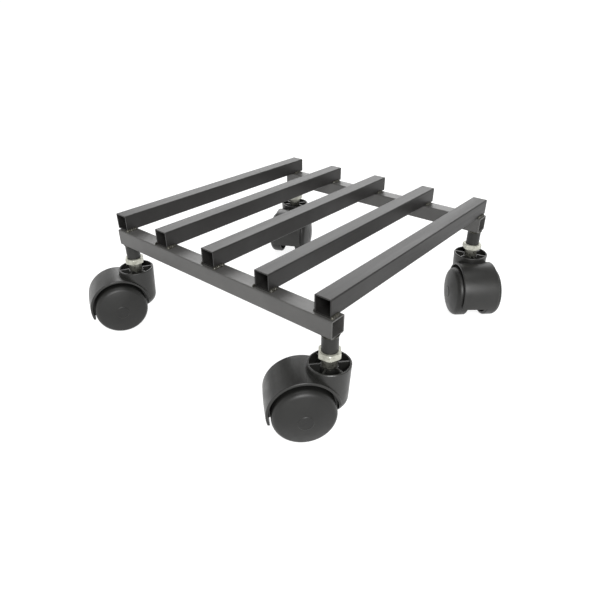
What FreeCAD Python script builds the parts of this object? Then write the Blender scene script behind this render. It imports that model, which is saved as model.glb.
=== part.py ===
"""Wheeled floor stand for a computer case.

A welded grille of square steel tube (two rails under five slats) stands on four
swivelling twin-wheel castors, screwed into sockets under the rail ends and held by
lock nuts.

Units are millimetres.  +X runs along the rails, +Y along the slats, +Z is up and z = 0
is the floor.  The origin is the middle of the footprint with the castors as they stand.
Every driving size is a cell of the sheet "Sizes", and the features are bound to it.
"""
import FreeCAD, Part
import Sketcher

import math
import os
import re

doc = FreeCAD.newDocument("wheeled_stand")

# ---------------------------------------------------------------- driving sizes

SIZES = {
    # where the middle of the frame lies from the origin
    "frame_x": -3.29,
    "frame_y": 18.14,
    # welded frame
    "tube_side": 15.5,
    "tube_wall": 1.2,
    "tube_corner": 1.2,
    "rail_length": 264.0,
    "rail_offset": 126.0,
    "rail_under": 86.9,
    "slat_length": 266.6,
    "slat_middle": 2.8,
    "slat_pitch": 62.35,
    "slat_first": -128.0,
    # stem sockets, stems and lock nuts
    "stem_offset": 125.45,
    "socket_radius": 6.7,
    "socket_under": 71.8,
    "socket_weld": 0.9,
    "thread_radius": 5.0,
    "thread_top": 84.9,
    "nut_across": 17.0,
    "nut_under": 66.7,
    "nut_chamfer": 1.3,
    "collar_radius": 6.3,
    "collar_under": 58.3,
    "pin_radius": 5.0,
    "pin_under": 28.0,
    "clip_groove": 0.8,
    # castor, from its stem axis on the floor, axle behind the stem
    "wheel_radius": 25.6,
    "trail": 21.8,
    "ring_top": 60.5,
    "ring_radius": 17.3,
    "ring_wall": 1.4,
    "skirt_radius": 15.6,
    "skirt_round": 11.3,
    "foot_level": 18.6,
    "recess_floor": 24.0,
    "boss_radius": 7.4,
    "boss_top": 58.0,
    "rib_top": 59.7,
    "rib_thick": 1.5,
    "barrel_radius": 30.0,
    "barrel_crown": 0.4,
    "barrel_rise": 1.2,
    "barrel_half": 17.9,
    "barrel_round": 0.9,
    "arch_radius": 27.6,
    "arch_foot": 32.0,
    "web_half": 9.0,
    "running_gap": 0.05,
    "face_gap": 0.3,
    # wheels on their axle
    "axle_radius": 3.0,
    "axle_half": 22.8,
    "wheel_inner": 9.75,
    "tread_end": 18.25,
    "shoulder_radius": 5.5,
    "dome_lean": 70.0,
    "inner_round": 1.5,
    "wheel_wall": 2.6,
    "hub_radius": 8.0,
    "cap_radius": 6.5,
    "cap_seat": 24.4,
    "cap_top": 27.5,
    "clip_seat": 21.1,
    "clip_pocket": 5.2,
    "clip_thick": 0.7,
    "clip_radius": 4.6,
    "groove_depth": 0.6,
}

# each corner: side along X, side along Y, direction in which the castor trails (degrees)
CASTORS = {
    "front_right": (1, -1, -132.3),
    "front_left": (-1, -1, -117.2),
    "rear_right": (1, 1, -47.7),
    "rear_left": (-1, 1, -63.0),
}

# the slats were set down by hand, so their spacing is a little uneven
SLAT_DRIFT = (0.0, 0.3, 1.7, 2.3, 0.0)


def make_sheet():
    """Write every driving size into the sheet, one alias per cell."""
    sizes = doc.addObject("Spreadsheet::Sheet", "Sizes")
    for row, (alias, value) in enumerate(SIZES.items(), start=1):
        sizes.set(f"A{row}", alias)
        sizes.set(f"B{row}", str(value))
        sizes.setAlias(f"B{row}", alias)
    doc.recompute()
    return sizes


sheet = make_sheet()
parts = []


def linked(text):
    """Turn words such as trail + 2 into an expression on the sheet's cells."""
    return re.sub(r"[a-z_]+", lambda word: f"Sizes.{word[0]}" if word[0] in SIZES else word[0], text)


def number(text):
    """Value of such an expression."""
    return float(sheet.evalExpression(linked(text)))


# ---------------------------------------------------------------- helpers


def keep(piece, label):
    """Register a finished piece under the name of its node."""
    piece.Label = label
    parts.append(piece)
    return piece


def place(piece, east, north, up="0", turn=0.0, tilt=None):
    """Bind the place of a piece to the sheet; east and north are from the frame's middle."""
    spin = FreeCAD.Rotation(FreeCAD.Vector(0, 0, 1), turn)
    piece.Placement = FreeCAD.Placement(FreeCAD.Vector(), spin if tilt is None else spin * tilt)
    piece.setExpression("Placement.Base.x", linked(f"frame_x + {east}"))
    piece.setExpression("Placement.Base.y", linked(f"frame_y + {north}"))
    piece.setExpression("Placement.Base.z", linked(up))


def signed(side, alias):
    """Expression for a cell on the plus or the minus side."""
    return f"{side} * {alias}"


def origin_part(body, role):
    """Plane or axis of a body's own origin."""
    return next(item for item in body.Origin.OriginFeatures if item.Role == role)


def new_sketch(body, role, name, offset=None):
    """Empty sketch on one of the body's origin planes, moved along its normal by offset."""
    sketch = body.newObject("Sketcher::SketchObject", name)
    sketch.AttachmentSupport = [(origin_part(body, role), "")]
    sketch.MapMode = "FlatFace"
    if offset is not None:
        sketch.setExpression("AttachmentOffset.Base.z", linked(offset))
    return sketch


def arc_through(start, end, radius):
    """Minor arc between two points, as Sketcher wants it: anticlockwise.

    A positive radius bends to the left of the way from start to end.
    Returns the arc and the ends (1 or 2) that carry the start and the end.
    """
    chord = end.sub(start)
    rise = math.sqrt(radius * radius - chord.Length * chord.Length / 4)
    normal = FreeCAD.Vector(-chord.y, chord.x, 0).normalize()
    centre = start.add(chord * 0.5).add(normal * math.copysign(rise, radius))
    angles = [math.atan2(p.y - centre.y, p.x - centre.x) for p in (start, end)]
    circle = Part.Circle(centre, FreeCAD.Vector(0, 0, 1), abs(radius))
    if radius > 0:
        return Part.ArcOfCircle(circle, angles[0], angles[1]), 1, 2
    return Part.ArcOfCircle(circle, angles[1], angles[0]), 2, 1


def outline(sketch, corners):
    """Closed outline through corners of (x, y) or (x, y, radius of the arc that follows)."""
    points = [FreeCAD.Vector(number(c[0]), number(c[1]), 0) for c in corners]
    runs = []
    for index, corner in enumerate(corners):
        start = points[index]
        end = points[(index + 1) % len(points)]
        if len(corner) == 3:
            curve, first, last = arc_through(start, end, number(corner[2]))
        else:
            curve, first, last = Part.LineSegment(start, end), 1, 2
        runs.append((sketch.addGeometry(curve, False), first, last))
    for index, (edge, first, last) in enumerate(runs):
        following, its_start, _ = runs[(index + 1) % len(runs)]
        sketch.addConstraint(Sketcher.Constraint("Coincident", edge, last, following, its_start))
    for corner, point, (edge, first, last) in zip(corners, points, runs):
        for kind, value, text in (("DistanceX", point.x, corner[0]), ("DistanceY", point.y, corner[1])):
            row = sketch.addConstraint(Sketcher.Constraint(kind, -1, 1, edge, first, value))
            sketch.setExpression(f"Constraints[{row}]", linked(text))
        if len(corner) == 3:
            radius = number(corner[2])
            row = sketch.addConstraint(Sketcher.Constraint("Radius", edge, abs(radius)))
            sketch.setExpression(f"Constraints[{row}]", linked(corner[2].lstrip("-")))
    return sketch


def circle(sketch, east, north, radius):
    """Circle bound to the sheet."""
    middle = FreeCAD.Vector(number(east), number(north), 0)
    edge = sketch.addGeometry(Part.Circle(middle, FreeCAD.Vector(0, 0, 1), number(radius)), False)
    for kind, value, text in (("DistanceX", middle.x, east), ("DistanceY", middle.y, north)):
        row = sketch.addConstraint(Sketcher.Constraint(kind, -1, 1, edge, 3, value))
        sketch.setExpression(f"Constraints[{row}]", linked(text))
    row = sketch.addConstraint(Sketcher.Constraint("Radius", edge, number(radius)))
    sketch.setExpression(f"Constraints[{row}]", linked(radius))
    return sketch


def add_axis(sketch, east):
    """Construction line along the sketch's y axis, to turn an outline about."""
    ends = [FreeCAD.Vector(number(east), height, 0) for height in (-1, 1)]
    line = sketch.addGeometry(Part.LineSegment(*ends), True)
    for point, height in ((1, -1), (2, 1)):
        row = sketch.addConstraint(Sketcher.Constraint("DistanceX", -1, 1, line, point, number(east)))
        sketch.setExpression(f"Constraints[{row}]", linked(east))
        sketch.addConstraint(Sketcher.Constraint("DistanceY", -1, 1, line, point, height))


def rectangle(sketch, low_x, high_x, low_y, high_y):
    """Rectangle between two corners."""
    return outline(sketch, [(low_x, low_y), (high_x, low_y), (high_x, high_y), (low_x, high_y)])


def extrude(body, kind, sketch, length, symmetric=False, backwards=False):
    """Pad or Pocket of a sketch; length is the whole depth."""
    feature = body.newObject(kind, kind.split("::")[1])
    feature.Profile = sketch
    feature.setExpression("Length", linked(length))
    feature.SideType = "Symmetric" if symmetric else "One side"
    feature.Reversed = backwards
    return feature


def turned(body, kind, sketch, axis="V_Axis"):
    """Revolution or Groove of a sketch about one of its own axes."""
    feature = body.newObject(kind, kind.split("::")[1])
    feature.Profile = sketch
    feature.ReferenceAxis = (sketch, [axis])
    feature.Angle = 360
    return feature


def rounded(body, base, edges, radius):
    """Fillet of named edges of a feature."""
    fillet = body.newObject("PartDesign::Fillet", "Fillet")
    fillet.Base = (base, edges)
    fillet.setExpression("Radius", linked(radius))
    return fillet


def new_body(label):
    return keep(doc.addObject("PartDesign::Body", "Body"), label)


# ---------------------------------------------------------------- welded frame

ALONG_X = FreeCAD.Rotation(FreeCAD.Vector(0, 1, 0), 90)
ALONG_Y = FreeCAD.Rotation(FreeCAD.Vector(1, 0, 0), -90)


def make_tube(label, length):
    """Square tube along local Z with rounded outer corners and open ends."""
    body = new_body(label)
    half = "tube_side / 2"
    outer = new_sketch(body, "XY_Plane", "Outside")
    rectangle(outer, f"-{half}", half, f"-{half}", half)
    bar = extrude(body, "PartDesign::Pad", outer, length, symmetric=True)
    doc.recompute()
    long_edges = [
        f"Edge{i}"
        for i, edge in enumerate(bar.Shape.Edges, start=1)
        if abs(edge.Length - number(length)) < 1e-6
    ]
    rounded(body, bar, long_edges, "tube_corner")
    inner = new_sketch(body, "XY_Plane", "Inside")
    inside = "(tube_side / 2 - tube_wall)"
    rectangle(inner, f"-{inside}", inside, f"-{inside}", inside)
    extrude(body, "PartDesign::Pocket", inner, f"{length} + 2", symmetric=True)
    return body


def make_frame():
    """Two rails along X with the five slats across them."""
    rail_axis = "rail_under + tube_side / 2"
    for label, side in (("front_rail", -1), ("rear_rail", 1)):
        rail = make_tube(label, "rail_length")
        place(rail, "0", signed(side, "rail_offset"), rail_axis, tilt=ALONG_X)
    for index, drift in enumerate(SLAT_DRIFT):
        slat = make_tube(f"slat_{index + 1}", "slat_length")
        east = f"slat_first + {index} * slat_pitch + {drift}"
        place(slat, east, "slat_middle", f"{rail_axis} + tube_side", tilt=ALONG_Y)


def weld_bead(seat, along, count, size):
    """Scalloped fillet of weld: a row of quarter balls in the corner at seat.

    along is +1 or -1, the side of the slat on which the corner lies.
    """
    facing = 0 if along > 0 else 180
    quarter = FreeCAD.Rotation(FreeCAD.Vector(0, 0, 1), facing)
    quarter = quarter * FreeCAD.Rotation(FreeCAD.Vector(1, 0, 0), 90)
    balls = []
    for step in range(count):
        offset = (step - (count - 1) / 2) * size
        ball = Part.makeSphere(size * (1.0 - 0.06 * (step % 2)), FreeCAD.Vector(),
                               FreeCAD.Vector(0, 0, 1), -90, 90, 90)
        ball.Placement = FreeCAD.Placement(seat + FreeCAD.Vector(0, offset, 0), quarter)
        balls.append(ball)
    return balls[0].fuse(balls[1:]).removeSplitter()


def make_slat_welds():
    """Beads on both sides of every slat where it crosses a rail."""
    size = 2.2
    rows = (5, 4, 5, 3, 4)
    beads = []
    for index, drift in enumerate(SLAT_DRIFT):
        middle = number(f"frame_x + slat_first + {index} * slat_pitch + {drift}")
        for side in (-1, 1):
            for along in (-1, 1):
                east = middle + along * number("tube_side / 2")
                if abs(east - number("frame_x")) > number("rail_length / 2") - size:
                    continue
                seat = FreeCAD.Vector(east, number(f"frame_y + {side} * rail_offset"),
                                      number("rail_under + tube_side"))
                beads.append(weld_bead(seat, along, rows[(index + (side + along) // 2) % 5], size))
    welds = doc.addObject("Part::Feature", "SlatWelds")
    welds.Shape = Part.makeCompound(beads)
    keep(welds, "slat_welds")


def make_socket_welds():
    """Ring of weld round the top of every stem socket."""
    top = number("rail_under")
    inner = number("socket_radius")
    width = number("socket_weld")
    profile = Part.makePolygon([
        FreeCAD.Vector(inner, 0, top),
        FreeCAD.Vector(inner + width, 0, top),
        FreeCAD.Vector(inner + width * 0.75, 0, top - width),
        FreeCAD.Vector(inner, 0, top - width * 2),
        FreeCAD.Vector(inner, 0, top),
    ])
    rings = []
    for side_x, side_y, _ in CASTORS.values():
        ring = Part.Face(profile).revolve(FreeCAD.Vector(), FreeCAD.Vector(0, 0, 1), 360)
        ring.translate(FreeCAD.Vector(number(f"frame_x + {side_x} * stem_offset"),
                                      number(f"frame_y + {side_y} * rail_offset"), 0))
        rings.append(ring)
    welds = doc.addObject("Part::Feature", "SocketWelds")
    welds.Shape = Part.makeCompound(rings)
    keep(welds, "socket_welds")


# ---------------------------------------------------------------- sockets, stems, nuts


def at_corner(piece, corner, turn=0.0):
    """Put a piece made about the stem axis at its corner of the frame."""
    side_x, side_y, _ = CASTORS[corner]
    place(piece, signed(side_x, "stem_offset"), signed(side_y, "rail_offset"), turn=turn)


def make_socket(corner):
    """Threaded sleeve welded under the rail end."""
    body = new_body(f"stem_socket_{corner}")
    section = new_sketch(body, "XZ_Plane", "Section")
    rectangle(section, "thread_radius", "socket_radius", "socket_under", "rail_under")
    turned(body, "PartDesign::Revolution", section)
    at_corner(body, corner)


def make_nut(corner, turn):
    """Hexagonal lock nut, chamfered top and bottom, run up against the socket."""
    height = "socket_under - nut_under"
    prism = doc.addObject("Part::Prism", "Hexagon")
    prism.Polygon = 6
    prism.setExpression("Circumradius", linked("nut_across / 2 / cos(30 deg)"))
    prism.setExpression("Height", linked(height))
    prism.setExpression("Placement.Base.z", linked("nut_under"))
    blanks = []
    wide = "nut_across / 2 / cos(30 deg)"
    for name, low, high in (("Upper", "nut_chamfer * 3", "0"), ("Lower", "0", "nut_chamfer * 3")):
        cone = doc.addObject("Part::Cone", f"{name}Chamfer")
        cone.setExpression("Radius1", linked(f"{wide} - 0.6 + {low}"))
        cone.setExpression("Radius2", linked(f"{wide} - 0.6 + {high}"))
        cone.setExpression("Height", linked(height))
        cone.setExpression("Placement.Base.z", linked("nut_under"))
        blanks.append(cone)
    solid = doc.addObject("Part::MultiCommon", "ChamferedHexagon")
    solid.Shapes = [prism] + blanks
    hole = doc.addObject("Part::Cylinder", "ThreadHole")
    hole.setExpression("Radius", linked("thread_radius"))
    hole.setExpression("Height", linked(f"{height} + 4"))
    hole.setExpression("Placement.Base.z", linked("nut_under - 2"))
    nut = keep(doc.addObject("Part::Cut", "Nut"), f"lock_nut_{corner}")
    nut.Base = solid
    nut.Tool = hole
    at_corner(nut, corner, turn)


def make_stem(corner):
    """Screwed stem: thread above, collar on the castor's boss, pivot pin below."""
    body = new_body(f"stem_{corner}")
    section = new_sketch(body, "XZ_Plane", "Section")
    groove = "pin_under + 3"
    outline(section, [
        ("0", "pin_under"),
        ("pin_radius - 0.8", "pin_under"),
        ("pin_radius", "pin_under + 0.8"),
        ("pin_radius", groove),
        ("pin_radius - groove_depth", groove),
        ("pin_radius - groove_depth", f"{groove} + clip_groove"),
        ("pin_radius", f"{groove} + clip_groove"),
        ("pin_radius", "collar_under"),
        ("collar_radius", "collar_under"),
        ("collar_radius", "nut_under"),
        ("thread_radius", "nut_under"),
        ("thread_radius", "thread_top - 1"),
        ("thread_radius - 1", "thread_top"),
        ("0", "thread_top"),
    ])
    turned(body, "PartDesign::Revolution", section)
    at_corner(body, corner)


def make_stem_clip(corner):
    """Split spring ring in the pin's groove; it snaps into the boss and holds the castor on."""
    body = new_body(f"stem_clip_{corner}")
    section = new_sketch(body, "XZ_Plane", "Section")
    rectangle(section, "pin_radius - groove_depth", "pin_radius + 0.4",
              "pin_under + 3.05", "pin_under + 2.95 + clip_groove")
    turned(body, "PartDesign::Revolution", section)
    slot = new_sketch(body, "XY_Plane", "Gap", "pin_under")
    rectangle(slot, "0", "pin_radius + 2", "-0.6", "0.6")
    extrude(body, "PartDesign::Pocket", slot, "8", backwards=True)
    at_corner(body, corner, CASTORS[corner][2])


# ---------------------------------------------------------------- castor hood


def crown_radius():
    """Radius of the slight crown across the barrel, from its height and width."""
    half = "(barrel_half - barrel_round)"
    return f"({half} ^ 2 + barrel_crown ^ 2) / (2 * barrel_crown)"


def make_hood(corner):
    """One-piece moulded hood: socket with ribs in front, barrel over the wheels, web between."""
    body = new_body(f"hood_{corner}")

    # socket: tapered skirt about the stem, rounded at its foot
    skirt = new_sketch(body, "XZ_Plane", "Skirt")
    outline(skirt, [
        ("0", "foot_level"),
        ("skirt_radius - skirt_round", "foot_level", "skirt_round"),
        ("skirt_radius", "foot_level + skirt_round"),
        ("ring_radius", "ring_top - 0.6"),
        ("ring_radius - 0.5", "ring_top"),
        ("0", "ring_top"),
    ])
    turned(body, "PartDesign::Revolution", skirt)

    # open space inside the socket
    recess = new_sketch(body, "XZ_Plane", "Recess")
    outline(recess, [
        ("0", "recess_floor"),
        ("skirt_radius - ring_wall - 6", "recess_floor"),
        ("skirt_radius - ring_wall", "recess_floor + 7"),
        ("ring_radius - ring_wall", "ring_top + 1"),
        ("0", "ring_top + 1"),
    ])
    turned(body, "PartDesign::Groove", recess)

    # barrel over both wheels: crowned, a little above the axle, cut level at the lip
    barrel = new_sketch(body, "XY_Plane", "Barrel", "wheel_radius + barrel_rise")
    add_axis(barrel, "trail")
    rim = "trail + barrel_radius - barrel_crown"
    outline(barrel, [
        ("trail", "-barrel_half"),
        (f"{rim} - barrel_round", "-barrel_half", "barrel_round"),
        (rim, "barrel_round - barrel_half", crown_radius()),
        (rim, "barrel_half - barrel_round", "barrel_round"),
        (f"{rim} - barrel_round", "barrel_half"),
        ("trail", "barrel_half"),
    ])
    turned(body, "PartDesign::Revolution", barrel, "Axis0")
    foot = new_sketch(body, "XZ_Plane", "Foot")
    rectangle(foot, "-ring_radius - 5", "trail + barrel_radius + 5", "-10", "foot_level")
    extrude(body, "PartDesign::Pocket", foot, "2 * barrel_half + 4", symmetric=True)

    # boss that carries the pivot pin, and six ribs to the ring, clear of the stem's collar
    boss = new_sketch(body, "XY_Plane", "Boss", "recess_floor - 1")
    circle(boss, "0", "0", "boss_radius")
    extrude(body, "PartDesign::Pad", boss, "boss_top - recess_floor + 1")
    rib = new_sketch(body, "XZ_Plane", "Rib")
    outline(rib, [
        ("collar_radius + 0.5", "recess_floor - 1"),
        ("skirt_radius - ring_wall - 5", "recess_floor - 1"),
        ("skirt_radius - ring_wall / 2", "recess_floor + 7.5"),
        ("ring_radius - ring_wall / 2", "rib_top"),
        ("collar_radius + 0.5", "rib_top"),
    ])
    rib_pad = extrude(body, "PartDesign::Pad", rib, "rib_thick", symmetric=True)
    doc.recompute()
    ring_of_ribs = body.newObject("PartDesign::PolarPattern", "Ribs")
    ring_of_ribs.Originals = [rib_pad]
    ring_of_ribs.Axis = (origin_part(body, "Z_Axis"), [""])
    ring_of_ribs.Angle = 360
    ring_of_ribs.Occurrences = 6
    body.Tip = ring_of_ribs

    # wheel arches, one each side of the web
    for side in (-1, 1):
        offset = "web_half" if side > 0 else "-barrel_half - 3"
        arch = new_sketch(body, "XZ_Plane", "Arch", offset)
        circle(arch, "trail", "wheel_radius + barrel_rise", "arch_radius")
        extrude(body, "PartDesign::Pocket", arch, "barrel_half + 3 - web_half", backwards=True)

    # below arch_foot nothing of the barrel shows in front of the skirt's rounded foot
    front = new_sketch(body, "XZ_Plane", "ArchFoot")
    outline(front, [
        ("-(skirt_radius - skirt_round)", "foot_level - 0.2", "-(skirt_round + 0.2)"),
        ("-(skirt_radius + 0.2)", "foot_level + skirt_round"),
        ("-(skirt_radius + 0.2)", "arch_foot"),
        ("-(barrel_radius)", "arch_foot"),
        ("-(barrel_radius)", "foot_level - 5"),
        ("-(skirt_radius - skirt_round)", "foot_level - 5"),
    ])
    trim = turned(body, "PartDesign::Groove", front)
    trim.Midplane = True
    trim.Angle = 160

    # pivot bore with the clip's groove, then the axle hole
    bore = new_sketch(body, "XZ_Plane", "Bore")
    groove = "pin_under + 3"
    outline(bore, [
        ("0", "pin_under - 1"),
        ("pin_radius + running_gap", "pin_under - 1"),
        ("pin_radius + running_gap", f"{groove} - face_gap"),
        ("pin_radius + 0.7", f"{groove} - face_gap"),
        ("pin_radius + 0.7", f"{groove} + clip_groove + face_gap"),
        ("pin_radius + running_gap", f"{groove} + clip_groove + face_gap"),
        ("pin_radius + running_gap", "boss_top + 1"),
        ("0", "boss_top + 1"),
    ])
    turned(body, "PartDesign::Groove", bore)
    hole = new_sketch(body, "XZ_Plane", "AxleHole")
    circle(hole, "trail", "wheel_radius", "axle_radius")
    extrude(body, "PartDesign::Pocket", hole, "2 * barrel_half + 4", symmetric=True)
    at_corner(body, corner, CASTORS[corner][2])


# ---------------------------------------------------------------- axle and wheels


def on_axle(piece, corner, side=1):
    """Put a piece made about local Z, from the hood's middle plane, on its castor's axle."""
    side_x, side_y, turn = CASTORS[corner]
    heading = math.radians(turn)
    east = f"{side_x} * stem_offset + trail * {math.cos(heading):.9f}"
    north = f"{side_y} * rail_offset + trail * {math.sin(heading):.9f}"
    outward = FreeCAD.Rotation(FreeCAD.Vector(1, 0, 0), -90 * side)
    place(piece, east, north, "wheel_radius", turn=turn, tilt=outward)


def make_axle(corner):
    """Steel pin pressed through the web, grooved near both ends for its clips."""
    body = new_body(f"axle_{corner}")
    section = new_sketch(body, "XZ_Plane", "Section")
    groove = "clip_seat + 0.3"
    corners = [("0", "axle_half"), ("axle_radius - 0.5", "axle_half"), ("axle_radius", "axle_half - 0.5")]
    steps = [
        ("axle_radius", f"{groove} + 0.8"),
        ("axle_radius - groove_depth", f"{groove} + 0.8"),
        ("axle_radius - groove_depth", groove),
        ("axle_radius", groove),
    ]
    upper = corners + steps
    lower = [(across, f"-({along})") for across, along in reversed(upper)]
    outline(section, upper + lower)
    turned(body, "PartDesign::Revolution", section)
    on_axle(body, corner)


def make_axle_clips(corner):
    """Two identical push-on rings, one in each groove of the axle."""
    lower = "clip_seat + 0.35"
    rings = []
    for side in (-1, 1):
        ring = doc.addObject("Part::Cylinder", "RingBlank")
        ring.setExpression("Radius", linked("clip_radius"))
        hole = doc.addObject("Part::Cylinder", "RingHole")
        hole.setExpression("Radius", linked("axle_radius - groove_depth"))
        for disc in (ring, hole):
            disc.setExpression("Height", linked("clip_thick"))
            start = lower if side > 0 else f"-({lower}) - clip_thick"
            disc.setExpression("Placement.Base.z", linked(start))
        clip = doc.addObject("Part::Cut", "Ring")
        clip.Base = ring
        clip.Tool = hole
        rings.append(clip)
    pair = keep(doc.addObject("Part::Compound", "AxleClips"), f"axle_clips_{corner}")
    pair.Links = rings
    on_axle(pair, corner)


def dome():
    """Meeting point of shoulder and crown, and the crown's radius, as expressions."""
    meet_z = "tread_end + shoulder_radius * sin(dome_lean * 1 deg)"
    meet_r = "wheel_radius - shoulder_radius + shoulder_radius * cos(dome_lean * 1 deg)"
    crown = f"(({meet_r}) / cos(dome_lean * 1 deg))"
    return meet_r, meet_z, crown


def make_wheel(corner, side, label):
    """Domed nylon wheel: closed outside, hollow and ribbed towards the web."""
    body = new_body(label)
    meet_r, meet_z, crown = dome()
    apex = f"{meet_z} - {crown} * sin(dome_lean * 1 deg) + {crown}"
    section = new_sketch(body, "XZ_Plane", "Section")
    outline(section, [
        ("0", "wheel_inner"),
        ("wheel_radius - inner_round", "wheel_inner", "inner_round"),
        ("wheel_radius", "wheel_inner + inner_round"),
        ("wheel_radius", "tread_end", "shoulder_radius"),
        (meet_r, meet_z, crown),
        ("0", apex),
    ])
    turned(body, "PartDesign::Revolution", section)

    # hollow between rim and hub, parallel to the outside
    hollow = new_sketch(body, "XZ_Plane", "Hollow")
    outline(hollow, [
        ("hub_radius", "wheel_inner - 1"),
        ("wheel_radius - wheel_wall", "wheel_inner - 1"),
        ("wheel_radius - wheel_wall", "tread_end", "shoulder_radius - wheel_wall"),
        (f"{meet_r} - wheel_wall * cos(dome_lean * 1 deg)",
         f"{meet_z} - wheel_wall * sin(dome_lean * 1 deg)"),
        ("hub_radius", "cap_seat - 1.2"),
    ])
    turned(body, "PartDesign::Groove", hollow)

    # ribs
    rib = new_sketch(body, "XY_Plane", "Rib", "wheel_inner + 2")
    rectangle(rib, "hub_radius - 1", "wheel_radius - 1", "-0.75", "0.75")
    rib_pad = extrude(body, "PartDesign::Pad", rib, "tread_end - wheel_inner - 2")
    doc.recompute()
    ribs = body.newObject("PartDesign::PolarPattern", "Ribs")
    ribs.Originals = [rib_pad]
    ribs.Axis = (origin_part(body, "Z_Axis"), [""])
    ribs.Angle = 360
    ribs.Occurrences = 8
    body.Tip = ribs

    # hub face proud of the rim, running bore, clip pocket and cap seat
    face = new_sketch(body, "XY_Plane", "HubFace", "web_half + face_gap")
    circle(face, "0", "0", "hub_radius")
    extrude(body, "PartDesign::Pad", face, "wheel_inner - web_half - face_gap + 0.5")
    bore = new_sketch(body, "XZ_Plane", "Bore")
    outline(bore, [
        ("0", "web_half - 1"),
        ("axle_radius + running_gap", "web_half - 1"),
        ("axle_radius + running_gap", "clip_seat"),
        ("clip_pocket", "clip_seat"),
        ("clip_pocket", "cap_seat"),
        ("cap_radius", "cap_seat"),
        ("cap_radius", "cap_top + 1"),
        ("0", "cap_top + 1"),
    ])
    turned(body, "PartDesign::Groove", bore)
    on_axle(body, corner, side)


def make_cap(corner, side, label):
    """Round cap pressed into the middle of the wheel, over the end of the axle."""
    body = new_body(label)
    section = new_sketch(body, "XZ_Plane", "Section")
    outline(section, [
        ("0", "cap_seat"),
        ("cap_radius", "cap_seat"),
        ("cap_radius", "cap_top - 0.5"),
        ("cap_radius - 0.5", "cap_top - 0.15"),
        ("0", "cap_top"),
    ])
    turned(body, "PartDesign::Revolution", section)
    on_axle(body, corner, side)


# ---------------------------------------------------------------- build and write

NUT_TURNS = {"front_right": 8.0, "front_left": 24.0, "rear_right": 14.0, "rear_left": 40.0}


def make_castor(corner):
    """Everything below one corner of the frame."""
    make_socket(corner)
    make_stem(corner)
    make_nut(corner, NUT_TURNS[corner])
    make_stem_clip(corner)
    make_hood(corner)
    make_axle(corner)
    make_axle_clips(corner)
    for side, hand in ((1, "a"), (-1, "b")):
        make_wheel(corner, side, f"wheel_{corner}_{hand}")
        make_cap(corner, side, f"hub_cap_{corner}_{hand}")


def check_document():
    """Stop on any failed object, empty sub-part or invalid shape."""
    doc.recompute()
    for item in doc.Objects:
        if "Invalid" in item.State or "Error" in item.State:
            raise RuntimeError(f"{item.Name} ({item.Label}) failed: {item.State}")
    for piece in parts:
        if piece.Shape.isNull() or not piece.Shape.isValid() or not piece.Shape.Solids:
            raise RuntimeError(f"{piece.Label} has no valid solid")


def write_parts():
    os.makedirs("parts", exist_ok=True)
    for piece in parts:
        piece.Shape.exportStep(f"parts/{piece.Label}.step")


make_frame()
make_slat_welds()
make_socket_welds()
for corner_name in CASTORS:
    make_castor(corner_name)
check_document()
write_parts()
for piece in parts:
    print(f"{piece.Label:28s} solids {len(piece.Shape.Solids):2d}  volume {piece.Shape.Volume:9.1f}")
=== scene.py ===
"""Looks of the wheeled stand for a computer case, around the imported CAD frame. Metres, +Z up."""

import math

import bpy
from mathutils import Matrix, Vector


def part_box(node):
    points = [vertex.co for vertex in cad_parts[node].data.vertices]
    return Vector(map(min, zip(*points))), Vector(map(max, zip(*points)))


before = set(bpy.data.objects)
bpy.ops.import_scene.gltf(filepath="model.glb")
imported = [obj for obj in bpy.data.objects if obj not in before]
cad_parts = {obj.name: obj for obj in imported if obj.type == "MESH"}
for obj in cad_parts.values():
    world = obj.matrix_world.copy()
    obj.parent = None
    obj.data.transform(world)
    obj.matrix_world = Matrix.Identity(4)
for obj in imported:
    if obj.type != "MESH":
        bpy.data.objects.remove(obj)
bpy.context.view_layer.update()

MM = 0.001
X_AXIS, Y_AXIS, Z_AXIS = range(3)
WHITE = (1, 1, 1, 1)


# ---------------------------------------------------------------- material helpers

# most of a noise texture's values lie between these two
NOISE_LOW = 0.3
NOISE_HIGH = 0.7
NOISE_ROUGHNESS = 0.55


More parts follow.
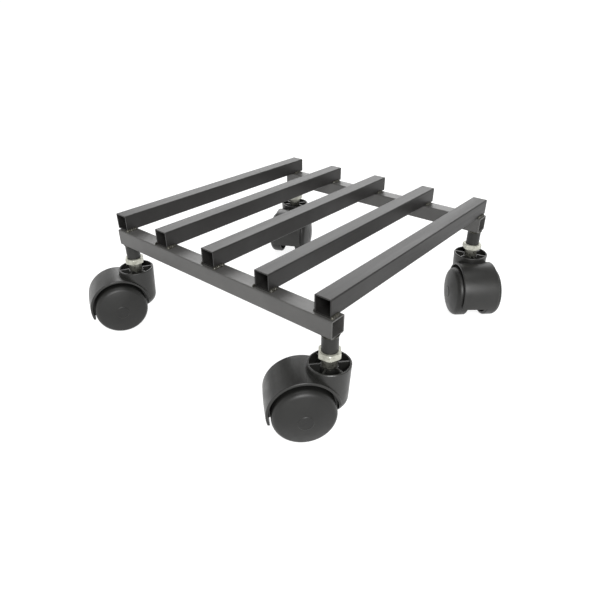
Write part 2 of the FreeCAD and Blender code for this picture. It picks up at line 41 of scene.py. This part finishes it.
class Surface:
    """A node material under construction; every texture reads object coordinates in metres."""

    def __init__(self, name, color, roughness, metallic=0.0, specular=0.5):
        self.material = bpy.data.materials.new(name)
        self.material.use_nodes = True
        self.nodes = self.material.node_tree.nodes
        self.links = self.material.node_tree.links
        self.shader = self.nodes["Principled BSDF"]
        self.shader.inputs["Base Color"].default_value = (*color, 1)
        self.shader.inputs["Roughness"].default_value = roughness
        self.shader.inputs["Metallic"].default_value = metallic
        self.shader.inputs["Specular IOR Level"].default_value = specular
        self.place = self.nodes.new("ShaderNodeTexCoord").outputs["Object"]

    def stretched(self, scale):
        """Coordinates scaled by a different amount along each axis, for streaks."""
        mapping = self.nodes.new("ShaderNodeMapping")
        mapping.inputs["Scale"].default_value = scale
        self.links.new(self.place, mapping.inputs["Vector"])
        return mapping.outputs["Vector"]

    def noise(self, scale, detail=3.0, place=None):
        """Noise of about 1 / scale metres."""
        texture = self.nodes.new("ShaderNodeTexNoise")
        texture.inputs["Scale"].default_value = scale
        texture.inputs["Detail"].default_value = detail
        texture.inputs["Roughness"].default_value = NOISE_ROUGHNESS
        self.links.new(place or self.place, texture.inputs["Vector"])
        return texture.outputs["Fac"]

    def spread(self, noise, low, high):
        """Map the range that a noise mostly keeps to onto low to high, clamped."""
        remap = self.nodes.new("ShaderNodeMapRange")
        remap.inputs["From Min"].default_value = NOISE_LOW
        remap.inputs["From Max"].default_value = NOISE_HIGH
        remap.inputs["To Min"].default_value = low
        remap.inputs["To Max"].default_value = high
        self.links.new(noise, remap.inputs["Value"])
        return remap.outputs["Result"]

    def ramp(self, value, first, last):
        """Colour along a value, between two stops of (position, colour)."""
        ramp = self.nodes.new("ShaderNodeValToRGB")
        for element, (position, color) in zip(ramp.color_ramp.elements, (first, last)):
            element.position = position
            element.color = (*color, 1)
        self.links.new(value, ramp.inputs["Fac"])
        return ramp.outputs["Color"]

    def color(self, output):
        """Take the base colour from a node's output."""
        self.links.new(output, self.shader.inputs["Base Color"])

    def rough(self, output):
        """Take the roughness from a node's output."""
        self.links.new(output, self.shader.inputs["Roughness"])

    def bump(self, output, depth):
        """Take relief of that depth in metres from a node's output."""
        node = self.nodes.new("ShaderNodeBump")
        node.inputs["Distance"].default_value = depth
        node.inputs["Strength"].default_value = 1.0
        self.links.new(output, node.inputs["Height"])
        self.links.new(node.outputs["Normal"], self.shader.inputs["Normal"])


# ---------------------------------------------------------------- painted frame

# noise scales are per metre, throughout
STREAKS_ACROSS = 260.0
STREAKS_ALONG = 9.0
PAINT_PATCHES = 38.0
PAINT_GRAIN = 1400.0
PAINT_GRAIN_DEPTH = 0.015 * MM
PAINT_ROUGHNESS = 0.42
PAINT_ROUGHNESS_LOW = 0.38
PAINT_ROUGHNESS_HIGH = 0.44

WELD_LUMPS = 420.0
WELD_DARK_AT = 0.35
WELD_PALE_AT = 0.65
WELD_LUMP_DEPTH = 0.5 * MM
WELD_COLOR = (0.05, 0.048, 0.04)
WELD_DARK = (0.020, 0.019, 0.015)
WELD_PALE = (0.045, 0.043, 0.033)
WELD_ROUGHNESS = 0.3
WELD_ROUGHNESS_LOW = 0.22
WELD_ROUGHNESS_HIGH = 0.45
WELD_METALLIC = 0.4


def frame_paint(name, streak_axis, dark, pale, specular):
    """Dark grey satin paint on drawn tube, with faint streaks along the tube."""
    paint = Surface(name, pale, PAINT_ROUGHNESS, specular=specular)
    streak_scale = [STREAKS_ACROSS, STREAKS_ACROSS, STREAKS_ACROSS]
    streak_scale[streak_axis] = STREAKS_ALONG
    # the stretched coordinates already carry the scale of the streaks
    streaks = paint.noise(1.0, detail=4, place=paint.stretched(streak_scale))
    patches = paint.noise(PAINT_PATCHES, detail=5)
    paint.color(paint.ramp(patches, (NOISE_LOW, dark), (NOISE_HIGH, pale)))
    paint.rough(paint.spread(streaks, PAINT_ROUGHNESS_LOW, PAINT_ROUGHNESS_HIGH))
    paint.bump(paint.noise(PAINT_GRAIN, detail=2), PAINT_GRAIN_DEPTH)
    return paint.material


def weld_metal():
    """Weld under the same paint: lumpy, glossier, a little brown."""
    weld = Surface("weld_bead", WELD_COLOR, WELD_ROUGHNESS, metallic=WELD_METALLIC)
    lumps = weld.noise(WELD_LUMPS, detail=3)
    weld.color(weld.ramp(lumps, (WELD_DARK_AT, WELD_DARK), (WELD_PALE_AT, WELD_PALE)))
    weld.rough(weld.spread(lumps, WELD_ROUGHNESS_LOW, WELD_ROUGHNESS_HIGH))
    weld.bump(lumps, WELD_LUMP_DEPTH)
    return weld.material


# ---------------------------------------------------------------- plated steel and nylon

ZINC_CLOUDS = 240.0
ZINC_DARK_AT = 0.30
ZINC_PALE_AT = 0.68
ZINC_GRAIN = 1800.0
ZINC_GRAIN_DEPTH = 0.012 * MM
ZINC_SMOOTHER = 0.08
ZINC_ROUGHER = 0.1

NYLON_FLOW = 55.0
NYLON_SHEEN = 120.0
NYLON_GRAIN_DEPTH = 0.03 * MM
NYLON_SHEEN_SPREAD = 0.06


def zinc(name, dark, pale, roughness, metallic):
    """Plated steel, cloudy at the scale of a few millimetres."""
    plate = Surface(name, pale, roughness, metallic=metallic)
    clouds = plate.noise(ZINC_CLOUDS, detail=5)
    plate.color(plate.ramp(clouds, (ZINC_DARK_AT, dark), (ZINC_PALE_AT, pale)))
    plate.rough(plate.spread(clouds, roughness - ZINC_SMOOTHER, roughness + ZINC_ROUGHER))
    plate.bump(plate.noise(ZINC_GRAIN, detail=2), ZINC_GRAIN_DEPTH)
    return plate.material


def nylon(name, dark, pale, roughness, specular, grain):
    """Moulded nylon with a fine spark-eroded grain and faint flow marks."""
    plastic = Surface(name, pale, roughness, specular=specular)
    flow = plastic.noise(NYLON_FLOW, detail=4)
    plastic.color(plastic.ramp(flow, (NOISE_LOW, dark), (NOISE_HIGH, pale)))
    sheen = plastic.noise(NYLON_SHEEN, detail=4)
    plastic.rough(plastic.spread(sheen, roughness - NYLON_SHEEN_SPREAD, roughness + NYLON_SHEEN_SPREAD))
    plastic.bump(plastic.noise(grain, detail=3), NYLON_GRAIN_DEPTH)
    return plastic.material


# ---------------------------------------------------------------- what each piece is made of

SURFACES = {
    # the frame is one paint, given here in lit and shaded copies: this rail copy is lighter, painted
    # light for the rails' front faces
    "rail": frame_paint(
        "frame_paint_rail_painted_light", streak_axis=X_AXIS,
        dark=(0.044, 0.043, 0.0415), pale=(0.058, 0.057, 0.0545), specular=0.5),
    # darker copy of the same frame paint: painted shade for the slats' shaded sides
    "slat": frame_paint(
        "frame_paint_slat_painted_shade", streak_axis=Y_AXIS,
        dark=(0.011, 0.0105, 0.010), pale=(0.017, 0.0165, 0.016), specular=0.26),
    # darker copy of the same frame paint: painted shade for the socket sleeves' shaded sides under the
    # rails
    "socket": frame_paint(
        "frame_paint_socket_painted_shade", streak_axis=Z_AXIS,
        dark=(0.011, 0.011, 0.010), pale=(0.017, 0.017, 0.016), specular=0.3),
    "weld": weld_metal(),
    "nut": zinc(
        "nut_zinc", dark=(0.26, 0.26, 0.215), pale=(0.47, 0.47, 0.41), roughness=0.40, metallic=0.35),
    "stem": zinc(
        "stem_zinc", dark=(0.13, 0.13, 0.11), pale=(0.27, 0.27, 0.235), roughness=0.30, metallic=0.8),
    "steel": zinc(
        "bright_steel", dark=(0.35, 0.35, 0.35), pale=(0.55, 0.55, 0.55), roughness=0.3, metallic=1.0),
    "hood": nylon(
        "hood_nylon", dark=(0.010, 0.010, 0.0092), pale=(0.015, 0.015, 0.0138),
        roughness=0.38, specular=0.42, grain=1500.0),
    "wheel": nylon(
        "wheel_nylon", dark=(0.008, 0.008, 0.0074), pale=(0.012, 0.012, 0.0112),
        roughness=0.42, specular=0.32, grain=1300.0),
    "cap": nylon(
        "cap_nylon", dark=(0.007, 0.007, 0.0066), pale=(0.011, 0.011, 0.0104),
        roughness=0.42, specular=0.32, grain=1500.0),
}

# a node is made of the first of these that its name starts with
MADE_OF = (
    ("slat_welds", "weld"),
    ("socket_welds", "weld"),
    ("slat_", "slat"),
    ("front_rail", "rail"),
    ("rear_rail", "rail"),
    ("stem_socket", "socket"),
    ("stem_clip", "steel"),
    ("stem_", "stem"),
    ("lock_nut", "nut"),
    ("axle", "steel"),
    ("hood_", "hood"),
    ("wheel_", "wheel"),
    ("hub_cap", "cap"),
)


def dress(node, piece):
    """Give a CAD node its procedural surface."""
    surface = next(SURFACES[kind] for start, kind in MADE_OF if node.startswith(start))
    piece.data.materials.clear()
    piece.data.materials.append(surface)


for node_name, node_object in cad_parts.items():
    dress(node_name, node_object)


# ---------------------------------------------------------------- floor

SWEEP_REACH = 8.0
SWEEP_BEND = 3.0
SWEEP_RISE = 5.0
SWEEP_CENTRE = 0.02
SWEEP_STEPS = 24
SWEEP_TURNS = 96

PAPER_CLOUDS = 3.0
PAPER_COLOR = (0.3, 0.3, 0.3)
PAPER_DARK = (0.295, 0.295, 0.295)
PAPER_PALE = (0.305, 0.305, 0.305)
PAPER_ROUGHNESS = 0.9
PAPER_SPECULAR = 0.1
PAPER_GLOW = 0.84


def sweep_profile():
    """Radius and height along the sweep: a small disc's rim, the flat, the bend, the wall's top."""
    flat = SWEEP_REACH - SWEEP_BEND
    profile = [(SWEEP_CENTRE, 0.0), (flat, 0.0)]
    for step in range(1, SWEEP_STEPS + 1):
        angle = math.pi / 2 * step / SWEEP_STEPS
        profile.append((flat + SWEEP_BEND * math.sin(angle), SWEEP_BEND - SWEEP_BEND * math.cos(angle)))
    profile.append((SWEEP_REACH, SWEEP_RISE))
    return profile


def white_floor():
    """Pale paper that glows, so it stays white: flat under the stand, curved up all round."""
    profile = sweep_profile()
    directions = [math.tau * turn / SWEEP_TURNS for turn in range(SWEEP_TURNS)]
    verts = [(out * math.cos(direction), out * math.sin(direction), up)
             for out, up in profile for direction in directions]
    faces = [tuple(range(SWEEP_TURNS))]
    for ring in range(len(profile) - 1):
        inner = ring * SWEEP_TURNS
        outer = inner + SWEEP_TURNS
        for turn in range(SWEEP_TURNS):
            after = (turn + 1) % SWEEP_TURNS
            faces.append((inner + turn, outer + turn, outer + after, inner + after))
    mesh = bpy.data.meshes.new("floor")
    mesh.from_pydata(verts, [], faces)
    for face in mesh.polygons:
        face.use_smooth = True
    floor = bpy.data.objects.new("floor", mesh)
    bpy.context.scene.collection.objects.link(floor)
    paper = Surface("studio_paper", PAPER_COLOR, PAPER_ROUGHNESS, specular=PAPER_SPECULAR)
    paper.color(paper.ramp(paper.noise(PAPER_CLOUDS), (0.0, PAPER_DARK), (1.0, PAPER_PALE)))
    paper.shader.inputs["Emission Color"].default_value = WHITE
    paper.shader.inputs["Emission Strength"].default_value = PAPER_GLOW
    floor.data.materials.append(paper.material)


# ---------------------------------------------------------------- light

WORLD_STRENGTH = 0.34


def world_light():
    """Even white light from every side."""
    world = bpy.data.worlds.new("studio")
    bpy.context.scene.world = world
    world.use_nodes = True
    background = world.node_tree.nodes["Background"]
    background.inputs["Color"].default_value = WHITE
    background.inputs["Strength"].default_value = WORLD_STRENGTH


def softbox(name, place, target, size, watts):
    """Rectangular area light that faces the target."""
    data = bpy.data.lights.new(name, "AREA")
    data.shape = "RECTANGLE"
    data.size, data.size_y = size
    data.energy = watts
    lamp = bpy.data.objects.new(name, data)
    bpy.context.scene.collection.objects.link(lamp)
    lamp.location = place
    lamp.rotation_euler = (Vector(target) - Vector(place)).to_track_quat("-Z", "Y").to_euler()


# ---------------------------------------------------------------- camera

VIEW_AZIMUTH = math.radians(40.29)
VIEW_DOWN = math.radians(30.43)
VIEW_ROLL = math.radians(-0.33)
EYE_FROM_RAILS = Vector((0.3095, -0.3773, 0.2975))
LENS_MM = 30.66
SENSOR_MM = 36.0
CLIP_NEAR = 0.01
CLIP_FAR = 100.0


def camera():
    """Camera at the view's direction, placed from the middle of the two rails on the floor."""
    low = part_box("front_rail")[0]
    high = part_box("rear_rail")[1]
    middle = Vector(((low.x + high.x) / 2, (low.y + high.y) / 2, 0))
    forward = Vector((-math.sin(VIEW_AZIMUTH) * math.cos(VIEW_DOWN),
                      math.cos(VIEW_AZIMUTH) * math.cos(VIEW_DOWN), -math.sin(VIEW_DOWN)))
    level = Vector((math.cos(VIEW_AZIMUTH), math.sin(VIEW_AZIMUTH), 0))
    upward = level.cross(forward)
    right = level * math.cos(VIEW_ROLL) + upward * math.sin(VIEW_ROLL)
    up = upward * math.cos(VIEW_ROLL) - level * math.sin(VIEW_ROLL)
    data = bpy.data.cameras.new("camera")
    data.lens = LENS_MM
    data.sensor_width = SENSOR_MM
    data.clip_start = CLIP_NEAR
    data.clip_end = CLIP_FAR
    eye = bpy.data.objects.new("camera", data)
    bpy.context.scene.collection.objects.link(eye)
    turned = Matrix((right, up, -forward)).transposed().to_4x4()
    eye.matrix_world = Matrix.Translation(middle + EYE_FROM_RAILS) @ turned
    bpy.context.scene.camera = eye


# ---------------------------------------------------------------- studio

white_floor()
world_light()
softbox("back", place=(-1.1, 1.34, 1.2), target=(0, 0, 0.1), size=(1.8, 1.2), watts=23)
softbox("overhead", place=(0, 0, 1.8), target=(0, 0, 0), size=(1.2, 1.2), watts=9)
softbox("front_high", place=(1.15, -1.05, 1.1), target=(0.1, 0.1, 0.05), size=(0.7, 0.7), watts=34)
camera()
bpy.context.scene.view_settings.view_transform = "Standard"
